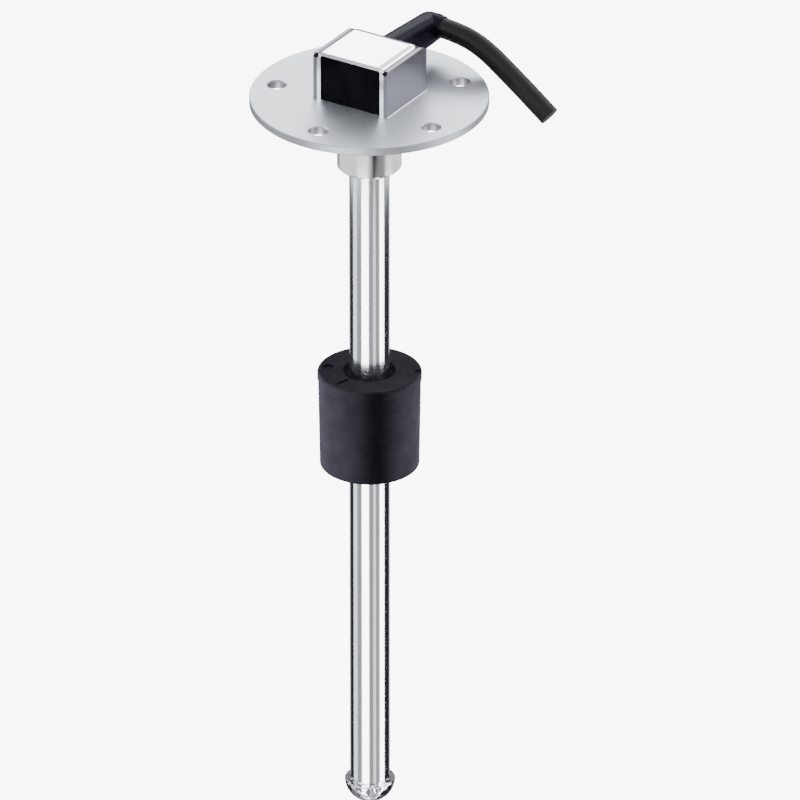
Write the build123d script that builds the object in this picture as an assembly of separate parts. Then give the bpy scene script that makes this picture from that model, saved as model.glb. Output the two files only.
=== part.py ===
from build123d import *

import math
import os

# Fuel level sender: a flanged stainless stem with a float that rides on it and closes reed switches
# inside. Millimetres, +Z up the stem, origin at the centre of the flange's underside, which seats on
# the tank. The resin face of the housing looks to -Y and the cable leaves towards +X at the rear.

# Clearances
PRESS_GAP = 0.02
FOLD_GAP = 0.05
SEAL_GAP = 0.03

# Flange: an uneven five-hole pattern on one circle
FLANGE_DIA = 68.0
FLANGE_THICK = 2.5
FLANGE_EDGE = 0.25
BOLT_CIRCLE_DIA = 54.0
BOLT_HOLE_DIA = 5.3
BOLT_CHAMFER = 0.35
BOLT_ANGLES = (270.0, 342.0, 50.0, 130.0, 198.0)

# Sleeve, stem tube and end stop
SLEEVE_DIA = 18.4
SLEEVE_DROP = 20.0
SLEEVE_CHAMFER = 0.6
TUBE_DIA = 11.6
TUBE_WALL = 0.8
STEM_LENGTH = 225.0
STOP_DIA = 14.7
STOP_EDGE = 0.35
SPIGOT_LENGTH = 6.0

# Housing: an inverted cover inside a U-shaped wrap
SHEET = 1.2
WRAP_WIDTH = 24.6
WRAP_HEIGHT = 14.2
WRAP_FRONT = -10.2
WRAP_REAR = 12.8
WRAP_BEND = 2.6
RELIEF_DIA = 1.3
COVER_HEIGHT = 15.2
COVER_BEND = 2.0
REAR_BEND = 5.0
RESIN_RECESS = 0.4
RESIN_PLUG_DEPTH = 8.0

# Moulded cable boot: an elbow from the rear wall to the cable
BOOT_WIDTH = 6.6
BOOT_HEIGHT = 9.7
BOOT_END_WIDTH = 7.0
BOOT_END_DEPTH = 7.0
BOOT_END_HEIGHT = 7.6
BOOT_END_SAG = 0.65
BOOT_CENTRE_RISE = 9.0
BOOT_TOP_EDGE = 2.5
BOOT_EDGE = 1.5
BOOT_CORNER = 3.4
BOOT_NECK_WIDTH = 4.6
BOOT_NECK_HEIGHT = 5.4
BOOT_ANCHOR = 1.0
BOOT_ANCHOR_DEPTH = 2.0
BOOT_LIP = 1.0
COLLAR_DIA = 6.6
COLLAR_LENGTH = 0.9

# Cable: where it leaves the boot, then the corners of its route
CABLE_DIA = 6.0
CABLE_ROUTE = (
    (5.2, 31.0, 12.1),
    (12.3, 31.0, 11.6),
    (19.6, 31.0, 8.8),
    (27.0, 31.0, 3.6),
    (34.2, 30.9, -1.5),
    (41.1, 30.6, -6.5),
)
ARC_SHARE = 0.45

# Float with its sealed ring magnet
FLOAT_DIA = 29.5
FLOAT_FOOT_DIA = 28.6
FLOAT_LIP_DIA = 30.0
FLOAT_LIP_HEIGHT = 2.2
FLOAT_HEIGHT = 30.0
FLOAT_TOP_DROP = 85.0
FLOAT_BORE_DIA = 13.2
FLOAT_MOUTH_DIA = 15.2
FLOAT_MOUTH_DEPTH = 2.4
FLOAT_FOOT_MOUTH_DIA = 13.5
FLOAT_EDGE = 0.8
MAGNET_BORE_DIA = 17.0
MAGNET_DIA = 24.0
MAGNET_HEIGHT = 6.0
MARK_DEPTH = 0.5
DIMPLE_DIA = 3.4
DIMPLE_PLACE = (11.9, 204.0)
GROOVE_WIDTH = 0.9
GROOVE_SPAN = (8.6, 13.0)
GROOVE_ANGLE = 256.5
CRESCENT_DIA = 2.6
CRESCENT_PLACE = (14.2, 26.6)

# Reed ladder inside the tube
BOARD_WIDTH = 8.0
BOARD_THICK = 1.0
BOARD_TOP_DROP = 12.0
REED_COUNT = 9
FIRST_REED_DROP = 42.0
LAST_REED_RISE = 9.5
REED_GLASS_DIA = 2.0
REED_GLASS_LENGTH = 10.0
REED_LEAD_DIA = 0.5
REED_SPAN = 14.0
REED_STAND = 0.15
REED_LEAD_BEND = 0.6
RESISTOR_LENGTH = 3.2
RESISTOR_WIDTH = 1.6
RESISTOR_THICK = 0.6
WIRE_DIA = 1.1
WIRE_PITCH = 2.2
WIRE_BEND = 4.0
WIRE_LAP = 5.0
WIRE_SEAT = 3.0

# Places that follow from the sizes above
deck = FLANGE_THICK
sleeve_foot = -SLEEVE_DROP
tube_bore_dia = TUBE_DIA - 2 * TUBE_WALL
stop_top = -STEM_LENGTH + STOP_DIA / 2
spigot_top = stop_top + SPIGOT_LENGTH
cover_half = WRAP_WIDTH / 2 - SHEET - FOLD_GAP
cover_rear = WRAP_REAR - SHEET - FOLD_GAP
cover_top = deck + COVER_HEIGHT
resin_half = cover_half - SHEET - SEAL_GAP
resin_rear = cover_rear - SHEET - SEAL_GAP
resin_top = cover_top - SHEET - SEAL_GAP
inner_bend = COVER_BEND - SHEET
inner_rear_bend = REAR_BEND - SHEET
anchor_rear = resin_rear - BOOT_ANCHOR_DEPTH
boot_z = deck + BOOT_CENTRE_RISE
boot_start = WRAP_REAR - REAR_BEND / 2
boot_mouth = Vector(*CABLE_ROUTE[0])
boot_face_normal = Vector(*CABLE_ROUTE[1]) - boot_mouth
boot_face = boot_mouth.X - COLLAR_LENGTH
float_top = -FLOAT_TOP_DROP
float_foot = float_top - FLOAT_HEIGHT
magnet_foot = (float_top + float_foot - MAGNET_HEIGHT) / 2
board_top = -BOARD_TOP_DROP
board_face = BOARD_THICK / 2
last_reed_drop = -spigot_top - LAST_REED_RISE
reed_pitch = (last_reed_drop - FIRST_REED_DROP) / (REED_COUNT - 1)
wire_y = board_face + WIRE_DIA / 2 + PRESS_GAP


def disc(diameter, foot, top, centre=(0.0, 0.0)):
    """A vertical cylinder between two heights."""
    plane = Plane(origin=(centre[0], centre[1], foot))
    return extrude(plane * Circle(diameter / 2), top - foot)


def block(x_low, x_high, y_low, y_high, z_low, z_high):
    """A box between two corners."""
    size = (x_high - x_low, y_high - y_low, z_high - z_low)
    centre = ((x_low + x_high) / 2, (y_low + y_high) / 2, (z_low + z_high) / 2)
    return Pos(*centre) * Box(*size)


def turned(points):
    """A body of revolution about the stem axis from a closed outline of (radius, height)."""
    outline = Polyline(*[(r, 0, z) for r, z in points], close=True)
    return revolve(make_face(outline), Axis.Z, 360)


def arched(half, front, rear, foot, top, bend):
    """A block as wide as twice a half width, with its top's rear edge rounded."""
    body = block(-half, half, front, rear, foot, top)
    ridge = body.edges().filter_by(Axis.X).sort_by(lambda edge: edge.center().Y + edge.center().Z)[-1]
    return fillet(ridge, bend)


def hood(half, front, rear, foot, top, rear_bend, side_bend):
    """An arched block whose two side edges are rounded, along its top and down its rear."""
    body = arched(half, front, rear, foot, top, rear_bend)
    rims = body.edges().filter_by(Axis.X, reverse=True)
    rims = rims.filter_by(lambda edge: edge.center().Y > front + PRESS_GAP)
    return fillet(rims.filter_by(lambda edge: edge.center().Z > foot + PRESS_GAP), side_bend)


def on_circle(radius, angle):
    turn = math.radians(angle)
    return (radius * math.cos(turn), radius * math.sin(turn))


def flange_plate():
    plate = disc(FLANGE_DIA, 0, FLANGE_THICK)
    plate = chamfer(plate.edges().filter_by(GeomType.CIRCLE), FLANGE_EDGE)
    plate -= disc(SLEEVE_DIA + 2 * PRESS_GAP, 0, FLANGE_THICK)
    for angle in BOLT_ANGLES:
        place = on_circle(BOLT_CIRCLE_DIA / 2, angle)
        plate -= disc(BOLT_HOLE_DIA, 0, FLANGE_THICK, place)
        mouth = Pos(place[0], place[1], FLANGE_THICK - BOLT_CHAMFER / 2)
        plate -= mouth * Cone(BOLT_HOLE_DIA / 2, BOLT_HOLE_DIA / 2 + BOLT_CHAMFER, BOLT_CHAMFER)
    return plate


def tank_sleeve():
    outer = SLEEVE_DIA / 2
    bore = TUBE_DIA / 2 + PRESS_GAP
    return turned([
        (bore, deck), (outer, deck), (outer, sleeve_foot + SLEEVE_CHAMFER),
        (outer - SLEEVE_CHAMFER, sleeve_foot), (bore, sleeve_foot),
    ])


def stem_tube():
    return disc(TUBE_DIA, stop_top, deck) - disc(tube_bore_dia, stop_top, deck)


def end_stop():
    """A half ball with a flat top that carries the tube, and a spigot up into its bore."""
    ball = Pos(0, 0, stop_top) * Sphere(STOP_DIA / 2)
    half = ball & block(-STOP_DIA, STOP_DIA, -STOP_DIA, STOP_DIA, stop_top - STOP_DIA, stop_top)
    rim = half.edges().filter_by(GeomType.CIRCLE).sort_by(Axis.Z)[-1]
    return fillet(rim, STOP_EDGE) + disc(tube_bore_dia - 2 * PRESS_GAP, stop_top, spigot_top)


def wrap_space():
    """The room under the outer sheet's top edges, arched at the rear."""
    return arched(WRAP_WIDTH, WRAP_FRONT, WRAP_REAR, deck, deck + WRAP_HEIGHT, REAR_BEND)


def cover_space():
    """The room that the inner sheet and all that it covers fill."""
    return hood(cover_half, WRAP_FRONT, cover_rear, deck, cover_top, REAR_BEND, COVER_BEND)


def relief_notches():
    """Round notches at the front, where both sheets' folds start."""
    place = Pos(0, WRAP_FRONT, deck + WRAP_HEIGHT) * Rot(0, 90, 0)
    span = place * Cylinder(RELIEF_DIA / 2, WRAP_WIDTH + SHEET)
    return span - block(-resin_half, resin_half, 2 * WRAP_FRONT, 0, deck, 2 * cover_top)


def housing_wrap():
    """Outer sheet, bent round the left, rear and right sides, with the boot's hole at the rear."""
    depth = WRAP_REAR - WRAP_FRONT
    outer = block(-WRAP_WIDTH / 2, WRAP_WIDTH / 2, WRAP_FRONT, WRAP_REAR, deck, deck + WRAP_HEIGHT)
    outer = fillet(outer.edges().filter_by(Axis.Z).sort_by(Axis.Y)[-2:], WRAP_BEND)
    half = WRAP_WIDTH / 2 - SHEET
    inner = block(-half, half, WRAP_FRONT - depth, WRAP_REAR - SHEET, deck, deck + WRAP_HEIGHT)
    inner = fillet(inner.edges().filter_by(Axis.Z).sort_by(Axis.Y)[-2:], WRAP_BEND - SHEET)
    return (outer & wrap_space()) - inner - boot_neck(PRESS_GAP) - relief_notches()


def housing_cover():
    """Inner sheet, folded down at the left, rear and right, open at the resin face."""
    half, rear, front = cover_half - SHEET, cover_rear - SHEET, WRAP_FRONT - SHEET
    hollow = hood(half, front, rear, deck - SHEET, cover_top - SHEET, inner_rear_bend, inner_bend)
    return cover_space() - hollow - boot_neck(PRESS_GAP) - relief_notches()


def potting_resin():
    """Resin that fills the housing, runs down into the tube and locks the boot and both wires."""
    front = WRAP_FRONT + RESIN_RECESS
    fill = hood(resin_half, front, resin_rear, deck, resin_top, inner_rear_bend, inner_bend)
    fill += disc(tube_bore_dia - 2 * PRESS_GAP, deck - RESIN_PLUG_DEPTH, deck)
    fill -= boot_anchor(SEAL_GAP) + boot_neck(SEAL_GAP)
    for side in (-1, 1):
        fill -= lead_wire(side, WIRE_DIA + 2 * SEAL_GAP)
    return fill


def boot_neck(gap):
    """The boot's waist, from its anchor through both rear walls, grown by a gap on every side."""
    half_w = BOOT_NECK_WIDTH / 2 + gap
    half_h = BOOT_NECK_HEIGHT / 2 + gap
    neck = block(-half_w, half_w, anchor_rear, WRAP_REAR, boot_z - half_h, boot_z + half_h)
    return fillet(neck.edges().filter_by(Axis.Y), BOOT_EDGE)


def boot_anchor(gap):
    """The boot's flange inside the housing, cast into the resin."""
    half_w = BOOT_NECK_WIDTH / 2 + BOOT_LIP + gap
    half_h = BOOT_NECK_HEIGHT / 2 + BOOT_LIP + gap
    front, rear = anchor_rear - BOOT_ANCHOR - gap, anchor_rear + gap
    anchor = block(-half_w, half_w, front, rear, boot_z - half_h, boot_z + half_h)
    return fillet(anchor.edges().filter_by(Axis.Y), BOOT_EDGE)


def boot_plan():
    """The elbow seen from above: it leans towards the cable's side and turns its outer corner round."""
    near, far = boot_mouth.Y - BOOT_END_DEPTH / 2, boot_mouth.Y + BOOT_END_DEPTH / 2
    side = BOOT_WIDTH / 2
    outline = Polyline(
        (-side, boot_start), (boot_face - BOOT_END_WIDTH, far), (boot_face, far), (boot_face, near),
        (side, boot_start), close=True,
    )
    return make_face(outline)


def boot_side():
    """The elbow seen from the side, from the rear wall to the end that holds the cable."""
    far, end_z = boot_mouth.Y + BOOT_END_DEPTH / 2, boot_mouth.Z - BOOT_END_SAG
    half, half_end = BOOT_HEIGHT / 2, BOOT_END_HEIGHT / 2
    outline = Polyline(
        (0, boot_start, boot_z - half), (0, boot_start, boot_z + half),
        (0, far, end_z + half_end), (0, far, end_z - half_end), close=True,
    )
    return make_face(outline)


def long_edges(elbow, up):
    """The edges that run along the elbow's upper side, or its lower side if up points down."""
    level = up.direction.Z * boot_z
    edges = elbow.edges().filter_by(lambda edge: edge.center().Y > boot_start + PRESS_GAP)
    edges = edges.filter_by(lambda edge: edge.center().X < boot_face - PRESS_GAP)
    edges = edges.filter_by(lambda edge: abs((edge % 0.5).Z) < 0.5)
    return edges.filter_by(lambda edge: up.direction.Z * edge.center().Z > level + BOOT_EDGE)


def cable_boot():
    """Plan and side of the elbow crossed, edges rounded, cut to the housing's arched rear, with its
    waist and a collar for the cable."""
    elbow = extrude(boot_plan(), 3 * boot_z) & extrude(boot_side(), 3 * BOOT_WIDTH, both=True)
    elbow = fillet(elbow.edges().filter_by(Axis.Z).sort_by(Axis.X)[:2].sort_by(Axis.Y)[-1], BOOT_CORNER)
    elbow = fillet(long_edges(elbow, Axis.Z), BOOT_TOP_EDGE)
    elbow = fillet(long_edges(elbow, -Axis.Z), BOOT_EDGE)
    elbow = elbow - wrap_space() - cover_space()
    collar = Plane(origin=boot_mouth, z_dir=boot_face_normal) * Circle(COLLAR_DIA / 2)
    boot = elbow + extrude(collar, -BOOT_WIDTH / 2) + boot_neck(0) + boot_anchor(0)
    for side_sign in (-1, 1):
        boot -= lead_wire(side_sign, WIRE_DIA + 2 * PRESS_GAP)
    return boot


def rounded_path(points):
    """Straight runs joined by tangent arcs as large as the two runs at each corner allow."""
    corners = [Vector(*p) for p in points]
    radii = []
    for before, here, after in zip(corners, corners[1:], corners[2:]):
        turn = (here - before).get_angle(after - here)
        shorter = min((here - before).length, (after - here).length)
        radii.append(ARC_SHARE * shorter / math.tan(math.radians(turn / 2)))
    print("cable arc radii, mm:", [round(r, 1) for r in radii])
    return FilletPolyline(*corners, radius=radii)


def cable():
    path = rounded_path(CABLE_ROUTE)
    section = Plane(origin=path @ 0, z_dir=path % 0) * Circle(CABLE_DIA / 2)
    tube = sweep(section, path=path)
    print("cable length, mm:", round(path.length, 2),
          "volume share:", round(tube.volume / (section.area * path.length), 5))
    return tube


def polar_cut(diameter, place):
    x, y = on_circle(*place)
    return disc(diameter, float_top - MARK_DEPTH, float_top, (x, y))


def float_body():
    """Moulded float: a lip at the top, a slight draft to the foot, a wide mouth over the bore and
    mould marks."""
    top, foot = FLOAT_DIA / 2, FLOAT_FOOT_DIA / 2
    lip = FLOAT_LIP_DIA / 2
    bore, mouth, foot_mouth = FLOAT_BORE_DIA / 2, FLOAT_MOUTH_DIA / 2, FLOAT_FOOT_MOUTH_DIA / 2
    ledge = float_top - FLOAT_MOUTH_DEPTH
    body = turned([
        (mouth, float_top), (lip, float_top), (lip, float_top - FLOAT_LIP_HEIGHT),
        (top, float_top - FLOAT_LIP_HEIGHT - (lip - top)), (foot, float_foot), (foot_mouth, float_foot),
        (bore, float_foot + foot_mouth - bore), (bore, ledge - (mouth - bore)), (mouth, ledge),
    ])
    rims = body.edges().filter_by(GeomType.CIRCLE).filter_by(lambda edge: edge.radius > FLOAT_FOOT_DIA / 2.01)
    rims = [rims.sort_by(Axis.Z)[0], rims.sort_by(Axis.Z)[-1]]
    body = fillet(rims, FLOAT_EDGE)
    body -= ring_magnet(SEAL_GAP)
    body -= polar_cut(DIMPLE_DIA, DIMPLE_PLACE)
    body -= polar_cut(CRESCENT_DIA, CRESCENT_PLACE)
    start, end = GROOVE_SPAN
    groove = block(start, end, -GROOVE_WIDTH / 2, GROOVE_WIDTH / 2, float_top - MARK_DEPTH, float_top)
    return body - Rot(0, 0, GROOVE_ANGLE) * groove


def ring_magnet(gap):
    low, high = magnet_foot - gap, magnet_foot + MAGNET_HEIGHT + gap
    return disc(MAGNET_DIA + 2 * gap, low, high) - disc(MAGNET_BORE_DIA - 2 * gap, low, high)


def reed_board():
    half_w, half_t = BOARD_WIDTH / 2, BOARD_THICK / 2
    return block(-half_w, half_w, -half_t, half_t, spigot_top, board_top)


def reed_height(index):
    return -FIRST_REED_DROP - index * reed_pitch


def reed_switch(index):
    """Glass capsule on the board with one bent lead at each end."""
    z = reed_height(index)
    y = board_face + REED_STAND + REED_GLASS_DIA / 2
    half = REED_GLASS_LENGTH / 2
    glass = Pos(0, y, z) * Cylinder(REED_GLASS_DIA / 2, REED_GLASS_LENGTH)
    glass = fillet(glass.edges().filter_by(GeomType.CIRCLE), REED_GLASS_DIA * 0.4)
    for side in (-1, 1):
        inner, outer = z + side * (half - 1), z + side * REED_SPAN / 2
        path = FilletPolyline((0, y, inner), (0, y, outer), (0, board_face, outer), radius=REED_LEAD_BEND)
        start = Plane(origin=path @ 0, z_dir=path % 0)
        glass += sweep(start * Circle(REED_LEAD_DIA / 2), path=path)
    return glass


def divider_resistor(index):
    """Chip resistor on the back of the board, half a pitch above its switch."""
    z = reed_height(index - 0.5)
    half_w, half_l = RESISTOR_WIDTH / 2, RESISTOR_LENGTH / 2
    return block(-half_w, half_w, -board_face - RESISTOR_THICK, -board_face, z - half_l, z + half_l)


def lead_wire(side, diameter):
    """One insulated wire, soldered at the board's top, up the tube and back into the boot."""
    x = side * WIRE_PITCH / 2
    path = FilletPolyline(
        (x, wire_y, board_top - WIRE_LAP), (x, wire_y, boot_z), (x, WRAP_REAR + WIRE_SEAT, boot_z),
        radius=WIRE_BEND,
    )
    section = Plane(origin=path @ 0, z_dir=path % 0) * Circle(diameter / 2)
    return sweep(section, path=path)


def all_parts():
    parts = {
        "flange_plate": flange_plate(),
        "tank_sleeve": tank_sleeve(),
        "stem_tube": stem_tube(),
        "end_stop": end_stop(),
        "housing_wrap": housing_wrap(),
        "housing_cover": housing_cover(),
        "potting_resin": potting_resin(),
        "cable_boot": cable_boot(),
        "cable": cable(),
        "float_body": float_body(),
        "float_magnet": ring_magnet(0),
        "reed_board": reed_board(),
        "lead_wire_signal": lead_wire(1, WIRE_DIA),
        "lead_wire_ground": lead_wire(-1, WIRE_DIA),
    }
    for i in range(REED_COUNT):
        parts[f"reed_switch_{i + 1:02d}"] = reed_switch(i)
        parts[f"divider_resistor_{i + 1:02d}"] = divider_resistor(i)
    return parts


os.makedirs("parts", exist_ok=True)
for name, part in all_parts().items():
    export_step(part, f"parts/{name}.step")
    print(f"{name}: {part.volume:.1f} mm3")
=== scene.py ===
# %% [markdown]
# A fuel level sender is a steel stem that hangs from a bolted flange into a tank. A float rides up and
# down the stem, and switches inside follow it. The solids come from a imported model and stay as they
# are. This script gives every surface its finish, makes the cable, the weld beads and the cut end of
# the cable, and sets the camera, the lights and the floor.

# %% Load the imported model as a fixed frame
import math

import bpy
from mathutils import Matrix, Vector


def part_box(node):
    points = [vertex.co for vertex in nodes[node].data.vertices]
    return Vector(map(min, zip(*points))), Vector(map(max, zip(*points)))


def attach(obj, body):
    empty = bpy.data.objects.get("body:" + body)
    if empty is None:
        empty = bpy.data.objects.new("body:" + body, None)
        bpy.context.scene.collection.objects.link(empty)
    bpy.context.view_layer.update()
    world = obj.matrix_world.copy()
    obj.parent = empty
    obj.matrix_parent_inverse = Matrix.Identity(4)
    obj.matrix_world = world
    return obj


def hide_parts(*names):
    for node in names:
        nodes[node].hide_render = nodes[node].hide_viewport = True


MM = 0.001
UP = Vector((0, 0, 1))

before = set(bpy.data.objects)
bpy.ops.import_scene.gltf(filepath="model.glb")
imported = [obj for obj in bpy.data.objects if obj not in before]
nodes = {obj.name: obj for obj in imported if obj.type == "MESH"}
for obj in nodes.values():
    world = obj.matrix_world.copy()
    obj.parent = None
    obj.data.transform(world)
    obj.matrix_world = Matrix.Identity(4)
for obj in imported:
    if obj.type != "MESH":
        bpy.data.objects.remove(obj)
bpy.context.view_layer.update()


# %% [markdown]
# The photograph was taken from far away with a long lens, so the stem is drawn almost without
# perspective. The camera stands four metres off, about 32 degrees round from the resin face, and
# looks down at about 27 degrees. Its aim is a point on the stem's axis, moved sideways so that the
# cable has room in the frame.

# %% Camera
CAMERA_AZIMUTH = math.radians(31.95)
CAMERA_ELEVATION = math.radians(27.45)
CAMERA_DISTANCE = 4.129
LENS = 650.0
SENSOR_WIDTH = 36.0
CLIP_END = 50.0
AIM_HEIGHT = -94.8 * MM
AIM_SIDE = 8.69 * MM

to_camera = Vector((
    math.sin(CAMERA_AZIMUTH) * math.cos(CAMERA_ELEVATION),
    -math.cos(CAMERA_AZIMUTH) * math.cos(CAMERA_ELEVATION),
    math.sin(CAMERA_ELEVATION),
))
to_right = Vector((math.cos(CAMERA_AZIMUTH), math.sin(CAMERA_AZIMUTH), 0.0))
aim = to_right * AIM_SIDE + UP * AIM_HEIGHT

camera_data = bpy.data.cameras.new("studio_camera")
camera_data.lens = LENS
camera_data.sensor_width = SENSOR_WIDTH
camera_data.clip_end = CLIP_END
camera = bpy.data.objects.new("studio_camera", camera_data)
camera.location = aim + to_camera * CAMERA_DISTANCE
camera.rotation_euler = to_camera.to_track_quat("Z", "Y").to_euler()
bpy.context.scene.collection.objects.link(camera)
bpy.context.scene.camera = camera
print("camera at", [round(v, 3) for v in camera.location])


# %% [markdown]
# Shader maths reads best as plain expressions. A Field wraps one output of a node, and Python's
# operators on it add Math nodes. A Finish is a material with a Principled shader. It adds any other
# node from a type, its settings and its inputs, and hands back the output as a Field.

# %% Helpers for procedural finishes
class Field:
    """One node output. Python's operators on it add Math nodes."""

    def __init__(self, finish, socket):
        self.finish = finish
        self.socket = socket

    def _math(self, operation, a, b=0.0):
        return self.finish.add("ShaderNodeMath", {"operation": operation}, {0: a, 1: b})

    def __add__(self, other):
        return self._math("ADD", self, other)

    def __radd__(self, other):
        return self._math("ADD", other, self)

    def __sub__(self, other):
        return self._math("SUBTRACT", self, other)

    def __mul__(self, other):
        return self._math("MULTIPLY", self, other)

    def __truediv__(self, other):
        return self._math("DIVIDE", self, other)

    def __pow__(self, other):
        return self._math("POWER", self, other)

    def __abs__(self):
        return self._math("ABSOLUTE", self)

    def atan2(self, other):
        return self._math("ARCTAN2", self, other)


class Finish:
    """A node material. What varies over the surface is linked, what is constant is set.

    A finish keeps its base colour as shade, where another shade is to lie over it.
    """

    def __init__(self, name):
        self.material = bpy.data.materials.new(name)
        self.material.use_nodes = True
        self.tree = self.material.node_tree
        self.shader = self.tree.nodes["Principled BSDF"]
        self.shade = None

    def add(self, kind, settings=None, inputs=None, output=0):
        node = self.tree.nodes.new(kind)
        for key, value in (settings or {}).items():
            setattr(node, key, value)
        for key, value in (inputs or {}).items():
            self.feed(node.inputs[key], value)
        return Field(self, node.outputs[output])

    def feed(self, socket, value):
        if isinstance(value, Field):
            self.tree.links.new(value.socket, socket)
        else:
            socket.default_value = value

    def ramp(self, factor, stops):
        """A colour ramp from (place, colour) stops."""
        node = self.tree.nodes.new("ShaderNodeValToRGB")
        elements = node.color_ramp.elements
        for place, _ in stops[1:-1]:
            elements.new(place)
        for element, (place, colour) in zip(elements, stops):
            element.position = place
            element.color = (*colour, 1.0)
        self.feed(node.inputs["Fac"], factor)
        return Field(self, node.outputs["Color"])

    def mix(self, factor, low, high):
        """A colour between two colours."""
        node = self.tree.nodes.new("ShaderNodeMix")
        node.data_type = "RGBA"
        self.feed(node.inputs["Factor"], factor)
        self.feed(node.inputs["A"], low)
        self.feed(node.inputs["B"], high)
        return Field(self, node.outputs["Result"])

    def place(self, scale=(1, 1, 1)):
        """Object coordinates, stretched by a scale along each axis."""
        spot = self.add("ShaderNodeTexCoord", output="Object")
        return self.add("ShaderNodeMapping", {}, {"Vector": spot, "Scale": scale})

    def axis(self, where, name):
        """One coordinate of a place."""
        return self.add("ShaderNodeSeparateXYZ", {}, {0: where}, output=name)

    def noise(self, where, scale, detail, roughness):
        values = {"Vector": where, "Scale": scale, "Detail": detail, "Roughness": roughness}
        return self.add("ShaderNodeTexNoise", {}, values, output="Fac")

    def step(self, field, place, width):
        """A field that rises from 0 to 1 over a width about a place."""
        settings = {"interpolation_type": "SMOOTHSTEP"}
        values = {"Value": field, "From Min": place - width / 2, "From Max": place + width / 2}
        return self.add("ShaderNodeMapRange", settings, values)

    def between(self, field, low, high):
        """A field of 0 to 1 spread over a range."""
        return field * (high - low) + low

    def bump(self, height, strength, distance):
        values = {"Height": height, "Strength": strength, "Distance": distance}
        return self.add("ShaderNodeBump", {}, values)

    def set(self, **values):
        """Feeds inputs of the Principled shader, with _ for each space in a name."""
        for key, value in values.items():
            self.feed(self.shader.inputs[key.replace("_", " ")], value)


def rgb(red, green, blue):
    return (red, green, blue, 1.0)


def wear(finish, names):
    """Gives a finish to CAD nodes."""
    for name in names:
        for slot in nodes[name].material_slots:
            slot.material = finish.material
    print(finish.material.name, "on", len(names), "nodes")


# %% [markdown]
# The flange, the sleeve under it and the folded housing are stainless steel with a satin finish. The
# inner sheet of the housing, its cover, has the brightest tint, which is painted light, and the outer
# sheet, its wrap, has a dark tint, which is painted shade: both are the same steel. The light spreads
# softly, with faint cloudy patches where the sheet was tumbled and fine grain that only shows close
# up.
# One noise makes the patches, a second one the grain, and the grain also gives a little relief. Two
# shades lie over that: the flange is duller where it was cut, at its rim and in its holes, and the
# housing's sheets get painted shade in the small notches at the front ends of their folds.

# %% Satin steel
CLOUD_SCALE = 90.0
GRAIN_SCALE = 5000.0
GRAIN_SHARE = 0.3
GRAIN_RELIEF = 0.05
GRAIN_HEIGHT = 0.01 * MM
TURNED_GRAIN = (0.2, 0.2, 3.0)
CUT_DROP = 0.08 * MM
CUT_FADE = 0.06 * MM
CUT_TINT = (0.30, 0.30, 0.32)
NOTCH_RADIUS = 0.85 * MM
NOTCH_DROP = 0.4 * MM
NOTCH_INSET = 0.9 * MM
NOTCH_FADE = 0.3 * MM
NOTCH_SHADE_TINT = (0.012, 0.012, 0.014)


def satin_steel(name, tint, roughness, change, grain_stretch=(1, 1, 1)):
    """Steel with cloudy patches and a fine grain, which a stretch can draw out."""
    steel = Finish(name)
    clouds = steel.noise(steel.place(), CLOUD_SCALE, 4.0, 0.6)
    grain = steel.noise(steel.place(grain_stretch), GRAIN_SCALE, 2.0, 0.6)
    mixed = clouds * (1 - GRAIN_SHARE) + grain * GRAIN_SHARE
    steel.shade = steel.ramp(mixed, [(0.3, [c * 0.95 for c in tint]), (0.7, tint)])
    steel.set(
        Base_Color=steel.shade,
        Metallic=1.0,
        Roughness=steel.between(mixed, roughness - change, roughness + change),
        Normal=steel.bump(grain, GRAIN_RELIEF, GRAIN_HEIGHT),
    )
    return steel


def dull_below(steel, height):
    """Gives a steel the duller tint of a cut under a height."""
    above = steel.step(steel.axis(steel.place(), "Z"), height, CUT_FADE)
    steel.set(Base_Color=steel.mix(above, rgb(*CUT_TINT), steel.shade))


def paint_notch_shade(steel, corner):
    """Paints shade into a steel round a corner and round the same corner of the other side."""
    spot = steel.place()
    x, y, z = (steel.axis(spot, name) for name in "XYZ")
    square = sum((field - place) ** 2.0 for field, place in zip((abs(x), y, z), corner))
    outside = steel.step(square ** 0.5, NOTCH_RADIUS, NOTCH_FADE)
    steel.set(Base_Color=steel.mix(outside, rgb(*NOTCH_SHADE_TINT), steel.shade))


flange_finish = satin_steel("satin_steel_flange", (0.60, 0.63, 0.66), roughness=0.46, change=0.05)
# The cover's near-white tint is painted light, and the wrap's dark tint is painted shade on its walls.
cover_finish = satin_steel("steel_cover_painted_light", (0.90, 0.95, 0.96), roughness=0.16, change=0.03)
wrap_finish = satin_steel("steel_wrap_painted_shade", (0.17, 0.165, 0.19), roughness=0.34, change=0.03)
sleeve_finish = satin_steel(
    "turned_steel_sleeve", (0.72, 0.71, 0.70), roughness=0.13, change=0.03, grain_stretch=TURNED_GRAIN)
dull_below(flange_finish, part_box("flange_plate")[1][2] - CUT_DROP)
wrap_low, wrap_high = (Vector(corner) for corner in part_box("housing_wrap"))
notch_corner = (wrap_high.x - NOTCH_INSET, wrap_low.y, wrap_high.z - NOTCH_DROP)
# Painted shade in the notches at the front ends of the housing's folds.
for sheet_finish in (cover_finish, wrap_finish):
    paint_notch_shade(sheet_finish, notch_corner)
wear(flange_finish, ["flange_plate"])
wear(cover_finish, ["housing_cover"])
wear(wrap_finish, ["housing_wrap"])
wear(sleeve_finish, ["tank_sleeve"])


# %% [markdown]
# The stem tube and the end stop are polished. The polishing belt runs round the tube, so its marks
# spread every reflection along the stem and hardly at all round it. That is what turns the studio
# into clean upright stripes. The end stop was polished by hand all over, so it mirrors in every
# direction and its shallow waves bend the stripes.

# %% Polished steel
HAZE_SCALE = 400.0
HAZE_STRETCH = (1, 1, 6)
HAZE_CHANGE = 0.08
WAVE_SCALE = 330.0
WAVE_RELIEF = 0.5
WAVE_HEIGHT = 2.0 * MM
ALONG_THE_STEM = 0.25


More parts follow.
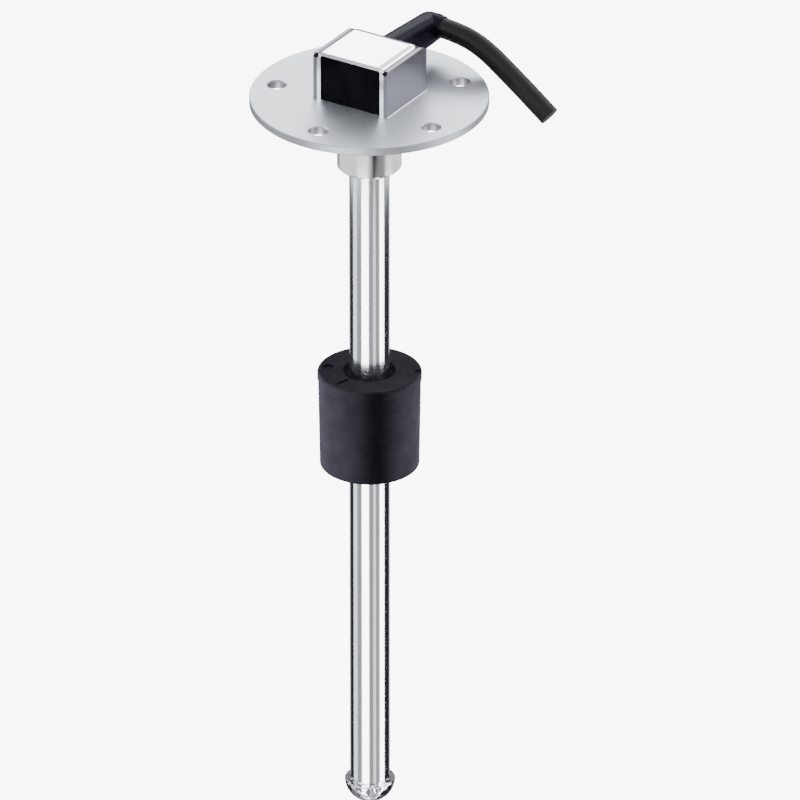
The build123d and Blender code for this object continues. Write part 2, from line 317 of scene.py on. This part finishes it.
def polished_steel(name, tint, roughness, spread=0.0):
    """Mirror steel with a faint haze. Its spread draws reflections out along the stem."""
    steel = Finish(name)
    haze = steel.noise(steel.place(HAZE_STRETCH), HAZE_SCALE, 2.0, 0.5)
    low, high = roughness * (1 - HAZE_CHANGE), roughness * (1 + HAZE_CHANGE)
    steel.set(
        Base_Color=rgb(*tint),
        Metallic=1.0,
        Roughness=steel.between(haze, low, high),
        Anisotropic=spread,
        Anisotropic_Rotation=ALONG_THE_STEM,
    )
    return steel


tube_finish = polished_steel("polished_steel_tube", (0.93, 0.93, 0.94), roughness=0.135, spread=0.85)
stop_finish = polished_steel("polished_steel_stop", (0.60, 0.60, 0.62), roughness=0.10)
waves = stop_finish.noise(stop_finish.place(), WAVE_SCALE, 1.0, 0.4)
stop_finish.set(Normal=stop_finish.bump(waves, WAVE_RELIEF, WAVE_HEIGHT))
wear(tube_finish, ["stem_tube"])
wear(stop_finish, ["end_stop"])


# %% [markdown]
# The float, the boot and the cable are three black rubbers. The float is moulded nitrile with a dense
# satin skin, the boot is a smoother moulding with a bluish cast, and the cable's sheath is extruded,
# so its marks run along it. The resin in the housing is poured and sets nearly glossy.

# %% Black rubbers and resin
PATCH_SCALE = 140.0
SKIN_SCALE = 2200.0
SKIN_HEIGHT = 0.03 * MM
DRAWN_OUT = (0.3, 1, 1)


def black_rubber(name, tint, roughness, relief, shine, stretch=(1, 1, 1)):
    """A black with paler, duller patches and a fine skin."""
    rubber = Finish(name)
    patches = rubber.noise(rubber.place(stretch), PATCH_SCALE, 4.0, 0.6)
    skin = rubber.noise(rubber.place(stretch), SKIN_SCALE, 2.0, 0.6)
    pale = [c * 1.5 + 0.002 for c in tint]
    rubber.set(
        Base_Color=rubber.ramp(patches, [(0.35, tint), (0.75, pale)]),
        Roughness=rubber.between(patches, roughness - 0.07, roughness + 0.09),
        Specular_IOR_Level=shine,
        Normal=rubber.bump(skin, relief, SKIN_HEIGHT),
    )
    return rubber


float_finish = black_rubber(
    "nitrile_float", (0.022, 0.021, 0.028), roughness=0.50, relief=0.20, shine=0.02)
boot_finish = black_rubber(
    "moulded_boot", (0.008, 0.008, 0.014), roughness=0.30, relief=0.12, shine=0.03)
cable_finish = black_rubber(
    "cable_sheath", (0.012, 0.012, 0.012), roughness=0.44, relief=0.15, shine=0.12, stretch=DRAWN_OUT)
resin_finish = black_rubber(
    "potting_resin", (0.0008, 0.001, 0.0015), roughness=0.16, relief=0.05, shine=0.015)
wear(float_finish, ["float_body"])
wear(boot_finish, ["cable_boot"])
wear(resin_finish, ["potting_resin"])


# %% [markdown]
# Pieces that sit inside the stem and the float still get their own finishes, because the model may be
# opened: a green lacquered board, greenish reed glass, black chip resistors, coloured wire insulation
# and a dark ferrite ring.

# %% Inner pieces
SPOT_SCALE = 400.0
SPOT_CHANGE = 0.15


def plain_finish(name, tint, roughness):
    """A paint or plastic with faint spots of a darker and a paler shade."""
    paint = Finish(name)
    spots = paint.noise(paint.place(), SPOT_SCALE, 3.0, 0.6)
    dark = [c * (1 - SPOT_CHANGE) for c in tint]
    pale = [c * (1 + SPOT_CHANGE) for c in tint]
    paint.set(
        Base_Color=paint.ramp(spots, [(0.3, dark), (0.7, pale)]),
        Roughness=paint.between(spots, roughness - 0.05, roughness + 0.05),
    )
    return paint


board_finish = plain_finish("green_board", (0.02, 0.16, 0.07), 0.35)
ferrite_finish = plain_finish("ferrite_ring", (0.06, 0.06, 0.065), 0.7)
pink_finish = plain_finish("pink_insulation", (0.75, 0.20, 0.32), 0.4)
black_finish = plain_finish("black_insulation", (0.015, 0.015, 0.015), 0.4)
brown_finish = plain_finish("brown_insulation", (0.012, 0.008, 0.006), 0.5)
chip_finish = plain_finish("chip_resistor", (0.02, 0.02, 0.022), 0.5)
glass_finish = plain_finish("reed_glass", (0.55, 0.72, 0.62), 0.08)
glass_finish.set(Transmission_Weight=0.7)
reed_names = sorted(name for name in nodes if name.startswith("reed_switch"))
chip_names = sorted(name for name in nodes if name.startswith("divider_resistor"))
wear(board_finish, ["reed_board"])
wear(ferrite_finish, ["float_magnet"])
wear(pink_finish, ["lead_wire_signal"])
wear(black_finish, ["lead_wire_ground"])
wear(chip_finish, chip_names)
wear(glass_finish, reed_names)


# %% [markdown]
# The cable leaves the boot's collar, runs level for a short way and droops in one bend before it goes
# on straight to its cut end. A fixed length of round cable is best made as one smooth curve with a
# round bevel. The points are the corners of its route, and a curve of order three rounds them.

# %% Cable
CABLE_DIAMETER = 6.0 * MM
CURVE_STEPS = 16
BEVEL_STEPS = 10
CABLE_ROUTE_MM = (
    (5.2, 31.0, 12.1),
    (12.3, 31.0, 11.6),
    (19.6, 31.0, 8.8),
    (27.0, 31.0, 3.6),
    (34.2, 30.9, -1.5),
    (41.1, 30.6, -6.5),
)
cable_route = [Vector(point) * MM for point in CABLE_ROUTE_MM]


def smooth_curve(name, points, diameter):
    """A curve of order three with a round section, from the first point to the last."""
    data = bpy.data.curves.new(name, "CURVE")
    data.dimensions = "3D"
    data.bevel_depth = diameter / 2
    data.bevel_resolution = BEVEL_STEPS
    data.use_fill_caps = True
    data.resolution_u = CURVE_STEPS
    spline = data.splines.new("NURBS")
    spline.points.add(len(points) - 1)
    for control, point in zip(spline.points, points):
        control.co = (*point, 1.0)
    spline.order_u = 3
    spline.use_endpoint_u = True
    curve = bpy.data.objects.new(name, data)
    bpy.context.scene.collection.objects.link(curve)
    return curve


def curve_line(curve):
    """The points along a curve's own centre line."""
    bevel = curve.data.bevel_depth
    curve.data.bevel_depth = 0.0
    bpy.context.view_layer.update()
    line = bpy.data.meshes.new_from_object(curve)
    points = [vertex.co.copy() for vertex in line.vertices]
    bpy.data.meshes.remove(line)
    curve.data.bevel_depth = bevel
    return points


cable = smooth_curve("sender_cable", cable_route, CABLE_DIAMETER)
cable.data.materials.append(cable_finish.material)
cable_line = curve_line(cable)
cable_length = sum((b - a).length for a, b in zip(cable_line, cable_line[1:]))
print("cable length, mm:", round(cable_length / MM, 2))


# %% [markdown]
# Small pieces start as one of Blender's primitives and are shaped in edit mode. The helpers pick faces
# by a test, and move a finished mesh to its place while its object stays at the origin.

# %% Helpers for modelling in edit mode
def pick_faces(piece, test):
    """Opens edit mode with only those faces selected that pass a test."""
    bpy.ops.object.mode_set(mode="EDIT")
    bpy.ops.mesh.select_mode(type="FACE")
    bpy.ops.mesh.select_all(action="DESELECT")
    bpy.ops.object.mode_set(mode="OBJECT")
    for face in piece.data.polygons:
        face.select = test(face)
    bpy.ops.object.mode_set(mode="EDIT")


def seat(piece, axis, spot):
    """Turns a piece's mesh until its Z axis lies along an axis, and moves it to its place."""
    turn = axis.to_track_quat("Z", "Y").to_matrix().to_4x4()
    piece.data.transform(Matrix.Translation(spot) @ turn)
    piece.location = (0, 0, 0)
    piece.rotation_euler = (0, 0, 0)


# %% [markdown]
# Where the cable was cut, its two cores show as dark rings round copper, flush with the sheath. Each
# is a short cylinder whose end face is inset. The outer ring is insulation and the centre is copper,
# pushed in a hair.

# %% Cut cores at the cable's end
CORE_DIAMETER = 1.7 * MM
CORE_WALL = 0.24 * CORE_DIAMETER
CORE_SPREAD = 1.05 * MM
CORE_LENGTH = 1.6 * MM
CORE_PROUD = 0.05 * MM
copper_finish = Finish("bright_copper")
copper_finish.set(Base_Color=rgb(0.16, 0.08, 0.05), Metallic=1.0, Roughness=0.5)
cable_end = cable_line[-1]
ahead = (cable_end - cable_line[-2]).normalized()
across = ahead.cross(UP).normalized()


def cut_core(name, insulation, side):
    """One core at the cable's cut end, on one side of the middle."""
    bpy.ops.mesh.primitive_cylinder_add(vertices=32, radius=CORE_DIAMETER / 2, depth=CORE_LENGTH)
    core = bpy.context.object
    core.name = name
    for finish in (insulation, copper_finish):
        core.data.materials.append(finish.material)
    pick_faces(core, lambda face: face.normal.z > 0.9)
    bpy.ops.mesh.inset(thickness=CORE_WALL)
    core.active_material_index = 1
    bpy.ops.object.material_slot_assign()
    bpy.ops.transform.translate(value=(0, 0, -CORE_PROUD / 2))
    bpy.ops.object.mode_set(mode="OBJECT")
    middle = cable_end + across * side * CORE_SPREAD + ahead * (CORE_PROUD - CORE_LENGTH / 2)
    seat(core, ahead, middle)
    return core


cores = [cut_core("cut_core_signal", brown_finish, 1), cut_core("cut_core_ground", black_finish, -1)]
print("cores at the cut:", len(cores))


# %% Cable and its cores ride on the stem
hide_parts("cable")
for piece in [cable, *cores]:
    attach(piece, "stem")


# %% [markdown]
# Thin bright weld beads close the joints: one round the sleeve under the flange, one along the foot of
# the housing's outer sheet. A bead is a small round section that follows its joint, so one is a torus
# and the other a curve laid in the corner, both with a wavy surface from the welder's steps.

# %% Weld bead finish
RIPPLE_SCALE = 1500.0
RIPPLE_RELIEF = 0.4
RIPPLE_HEIGHT = 0.1 * MM
bead_finish = Finish("weld_bead")
ripples = bead_finish.noise(bead_finish.place(), RIPPLE_SCALE, 2.0, 0.5)
bead_finish.set(
    Base_Color=rgb(0.58, 0.57, 0.61),
    Metallic=1.0,
    Roughness=bead_finish.between(ripples, 0.24, 0.40),
    Normal=bead_finish.bump(ripples, RIPPLE_RELIEF, RIPPLE_HEIGHT),
)


def lay_bead(bead):
    """Smooths the selected bead and fixes it to the stem's body."""
    bpy.ops.object.shade_smooth()
    bead.data.materials.append(bead_finish.material)
    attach(bead, "stem")


# %% Bead between the sleeve and the flange
SLEEVE_BEAD = 0.45 * MM
SLEEVE_BEAD_REACH = 0.2 * SLEEVE_BEAD
SLEEVE_BEAD_DROP = 0.06 * SLEEVE_BEAD
TOP_FLATTENED = 0.05
sleeve_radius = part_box("tank_sleeve")[1][0]
bpy.ops.mesh.primitive_torus_add(
    major_segments=144, minor_segments=12,
    major_radius=sleeve_radius + SLEEVE_BEAD_REACH, minor_radius=SLEEVE_BEAD,
)
sleeve_bead = bpy.context.object
sleeve_bead.name = "sleeve_weld_bead"
pick_faces(sleeve_bead, lambda face: face.center.z > 0)
bpy.ops.transform.resize(value=(1, 1, TOP_FLATTENED))
bpy.ops.object.mode_set(mode="OBJECT")
seat(sleeve_bead, UP, -UP * SLEEVE_BEAD_DROP)
lay_bead(sleeve_bead)
print("sleeve bead radius, mm:", round(sleeve_radius / MM, 2))


# %% Bead along the foot of the housing
HOUSING_BEAD = 0.3 * MM
WRAP_BEND = 2.6 * MM
ARC_STEP = 15


def corner_arc(x, y, radius, start):
    """Points round a quarter circle about (x, y), from an angle in degrees."""
    angles = [math.radians(start + turn) for turn in range(0, 91, ARC_STEP)]
    return [Vector((x + radius * math.cos(a), y + radius * math.sin(a), wrap_low.z)) for a in angles]


bend_y = wrap_high.y - WRAP_BEND
bead_route = [Vector((wrap_high.x, wrap_low.y, wrap_low.z))]
bead_route += corner_arc(wrap_high.x - WRAP_BEND, bend_y, WRAP_BEND, 0)
bead_route += corner_arc(wrap_low.x + WRAP_BEND, bend_y, WRAP_BEND, 90)
bead_route += [wrap_low]
bead_curve = smooth_curve("housing_weld_bead", bead_route, 2 * HOUSING_BEAD)
bpy.ops.object.select_all(action="DESELECT")
bead_curve.select_set(True)
bpy.context.view_layer.objects.active = bead_curve
bpy.ops.object.convert(target="MESH")
lay_bead(bpy.context.object)
print("housing bead points:", len(bead_route))


# %% [markdown]
# Polished metal shows what stands round it, so the studio is part of the finish. A drum of cards
# stands round the sender, as a product photographer sets them for a polished tube. There are four
# kinds of card, white, pale, grey and dark, and each card fills a span of direction round the stem,
# in degrees from the camera. Above the flange the drum turns into a sky with one bright band, for all
# that faces up. Only mirror rays see it.
#
# A smaller ring of softer cards hangs inside the drum, for the sleeve and the flange's rim. The camera
# looks down, so each of them mirrors a place some way under it. The ring ends just above the place
# that the top of the stem mirrors, and it leans so that its foot keeps to that line all the way round.

# %% Reflection drum and ring
DRUM_RADIUS = 300.0 * MM
DRUM_LOW = -445.0 * MM
DRUM_HIGH = 420.0 * MM
RING_RADIUS = 150.0 * MM
RING_LOW = -95.8 * MM
RING_HIGH = -55.0 * MM
RING_LEAN = 0.013
WALL_SIDES = 180
STEM_CARD_EDGE = 1.2
RING_CARD_EDGE = 18.0
SKY_FADE = 20.0 * MM
SKY_STOPS = [
    (0.0, (0.10, 0.10, 0.12)),
    (0.24, (0.16, 0.16, 0.18)),
    (0.33, (9.0, 9.3, 9.5)),
    (0.42, (9.0, 9.3, 9.5)),
    (0.52, (2.2, 2.2, 2.3)),
    (1.0, (1.0, 1.0, 1.1)),
]
WHITE_CARD = (9.0, 9.0, 9.3)
PALE_CARD = (1.5, 1.55, 1.6)
GREY_CARD = (0.42, 0.42, 0.46)
DARK_CARD = (0.02, 0.02, 0.025)
stem_cards = [
    (-180, -140, GREY_CARD),
    (-140, -105, DARK_CARD),
    (-105, -75, PALE_CARD),
    (-75, -45, GREY_CARD),
    (-45, -5, WHITE_CARD),
    (-5, 20, GREY_CARD),
    (20, 35, PALE_CARD),
    (35, 60, GREY_CARD),
    (60, 90, WHITE_CARD),
    (90, 140, DARK_CARD),
    (140, 180, GREY_CARD),
]
ring_cards = [
    (-180, -130, GREY_CARD),
    (-130, 5, PALE_CARD),
    (5, 30, DARK_CARD),
    (30, 60, GREY_CARD),
    (60, 150, PALE_CARD),
    (150, 180, GREY_CARD),
]
camera_turn = math.atan2(to_camera.y, to_camera.x)


def card_row(finish, share, cards, edge):
    """The colour round the stem that a row of cards gives, with a soft edge from card to card."""
    stops = []
    for low, high, colour in cards:
        for direction in (low + edge / 2, high - edge / 2):
            stops.append(((direction + 180) / 360, colour))
    return finish.ramp(share, stops)


def card_finish(name, cards, edge, sky_stops=None):
    """Light that changes with the direction round the stem, and turns to sky above the flange."""
    finish = Finish(name)
    spot = finish.add("ShaderNodeTexCoord", output="Object")
    turned = finish.add(
        "ShaderNodeVectorRotate", {"rotation_type": "Z_AXIS"}, {"Vector": spot, "Angle": -camera_turn})
    x, y, z = (finish.axis(turned, axis) for axis in "XYZ")
    glow = card_row(finish, y.atan2(x) / (2 * math.pi) + 0.5, cards, edge)
    if sky_stops:
        sky = finish.ramp(z / DRUM_HIGH, sky_stops)
        glow = finish.mix(finish.step(z, 0.0, SKY_FADE), glow, sky)
    emission = finish.add("ShaderNodeEmission", {}, {"Color": glow, "Strength": 1.0})
    finish.feed(finish.tree.nodes["Material Output"].inputs["Surface"], emission)
    return finish


def card_wall(name, finish, radius, low, high, axis, ends):
    """A round wall of cards that only mirror rays see."""
    bpy.ops.mesh.primitive_cylinder_add(
        vertices=WALL_SIDES, radius=radius, depth=high - low, end_fill_type=ends)
    wall = bpy.context.object
    wall.name = name
    seat(wall, axis, UP * (high + low) / 2)
    wall.data.materials.append(finish.material)
    wall.visible_camera = False
    wall.visible_diffuse = False
    wall.visible_shadow = False
    wall.visible_transmission = False


drum_finish = card_finish("reflection_cards", stem_cards, STEM_CARD_EDGE, SKY_STOPS)
ring_finish = card_finish("reflection_ring_cards", ring_cards, RING_CARD_EDGE)
ring_axis = UP - RING_LEAN * Vector((math.cos(camera_turn), math.sin(camera_turn), 0))
card_wall("reflection_drum", drum_finish, DRUM_RADIUS, DRUM_LOW, DRUM_HIGH, UP, "NGON")
card_wall("reflection_ring", ring_finish, RING_RADIUS, RING_LOW, RING_HIGH, ring_axis, "NOTHING")
print("cards round the stem:", len(stem_cards), "and in the ring:", len(ring_cards))


# %% [markdown]
# The floor is a plain pale sheet well below the stem's tip, wide enough to fill every view. It glows
# evenly, as a light table does, so the sender stands in front of it without a shadow. The light on the
# sender is soft: one large panel overhead, one at the left and one at the right, a little behind the
# sender, and hardly any from all round. So the black float is light at its sides and dark between.

# %% Floor
FLOOR_HEIGHT = -450.0 * MM
FLOOR_WIDTH = 40.0
FLOOR_GLOW = 7.5
bpy.ops.mesh.primitive_plane_add(size=FLOOR_WIDTH)
floor = bpy.context.object
floor.name = "studio_floor"
seat(floor, UP, UP * FLOOR_HEIGHT)
floor_finish = Finish("pale_floor")
floor_finish.set(
    Base_Color=rgb(0.9, 0.9, 0.9),
    Roughness=0.9,
    Emission_Color=rgb(1.0, 1.0, 1.0),
    Emission_Strength=FLOOR_GLOW,
)
floor.data.materials.append(floor_finish.material)
floor.visible_diffuse = False
floor.visible_glossy = False


# %% Lights
WORLD_GLOW = 0.02


def soft_panel(name, direction, distance, size, power):
    """A square soft light that faces the middle of the stem."""
    data = bpy.data.lights.new(name, "AREA")
    data.shape = "SQUARE"
    data.size = size
    data.energy = power
    panel = bpy.data.objects.new(name, data)
    towards = direction.normalized()
    panel.location = UP * AIM_HEIGHT + towards * distance
    panel.rotation_euler = towards.to_track_quat("Z", "Y").to_euler()
    panel.visible_camera = False
    panel.visible_glossy = False
    bpy.context.scene.collection.objects.link(panel)


soft_panel("overhead_panel", Vector((0.1, 0.1, 1.0)), distance=1.6, size=1.0, power=30.0)
soft_panel("left_panel", to_camera * 0.05 - to_right, distance=1.8, size=0.7, power=115.0)
soft_panel("right_panel", to_camera * -0.26 + to_right, distance=1.8, size=0.6, power=135.0)

world = bpy.data.worlds.new("pale_sky")
world.use_nodes = True
background = world.node_tree.nodes["Background"].inputs
background["Color"].default_value = rgb(1.0, 1.0, 1.0)
background["Strength"].default_value = WORLD_GLOW
bpy.context.scene.world = world
print("lights:", len(bpy.data.lights))
